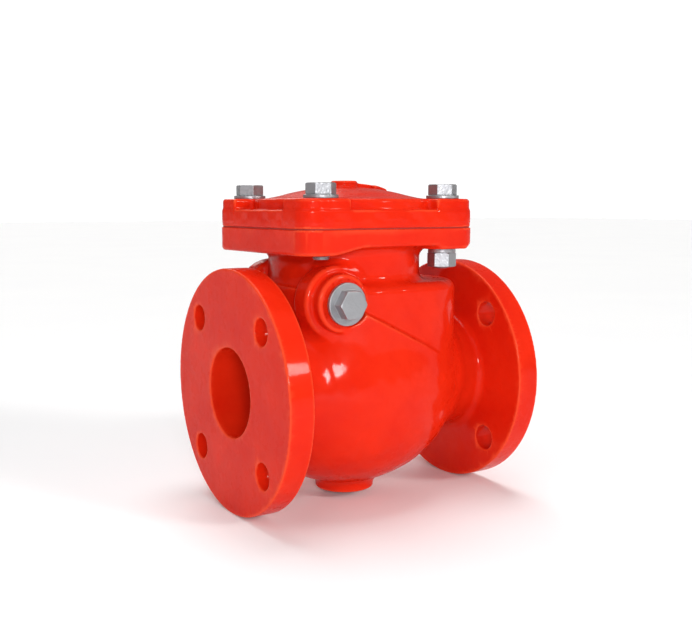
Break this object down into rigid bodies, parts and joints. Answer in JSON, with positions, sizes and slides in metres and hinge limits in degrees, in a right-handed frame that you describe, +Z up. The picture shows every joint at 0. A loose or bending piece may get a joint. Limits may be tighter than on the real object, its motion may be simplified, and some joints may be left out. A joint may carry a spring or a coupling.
{
  "type": "swing check valve",
  "caption": "Flanged swing check valve with a round bulb body, a square bolted cover and a hinged clapper that lets fluid pass one way only.",
  "frame": {"origin": "centre of the inlet flange's face, on the pipe axis", "axes": "+X along the pipe axis from inlet to outlet, +Z up through the cover, +Y across, away from the visible hinge plug"},
  "size_m": [0.216, 0.178, 0.2405],
  "materials": {
    "casting_paint": "glossy epoxy",
    "zinc_steel": "zinc plated",
    "bronze": "machined",
    "stainless": "satin",
    "rubber": "matt",
    "gasket_fibre": "matt"
  },
  "bodies": {
    "valve_body": {"body": "casting_paint", "cover": "casting_paint", "cover_gasket": "gasket_fibre", "cover_bolts": "zinc_steel", "cover_bolt_washers": "zinc_steel", "cover_nut_washers": "zinc_steel", "cover_nuts": "zinc_steel", "seat_ring": "bronze", "drain_plug": "zinc_steel", "hinge_pin": "stainless", "hinge_bush_near": "bronze", "hinge_bush_far": "bronze", "pin_plug_near": "zinc_steel", "pin_plug_far": "zinc_steel", "plug_washer_near": "bronze", "plug_washer_far": "bronze", "pin_spacer_near": "bronze", "pin_spacer_far": "bronze"},
    "flap": {"hinge_arm": "stainless", "arm_bush": "bronze", "eye_bush": "bronze"},
    "disc_assembly": {"disc": "stainless", "disc_facing": "rubber", "facing_plate": "stainless", "facing_screws": "stainless", "thrust_washer": "bronze", "stud_washer": "stainless", "castle_nut": "stainless", "split_pin": "stainless"}
  },
  "joints": [
    {"name": "flap_swing", "type": "hinge", "parent": "valve_body", "child": "flap", "pos_m": [0.0595, 0, 0.066], "axis": [0, -1, 0], "range_deg": [0, 65]},
    {"name": "disc_spin", "type": "hinge", "parent": "flap", "child": "disc_assembly", "pos_m": [0.077, 0, 0], "axis": [1, 0, 0], "continuous": true}
  ]
}
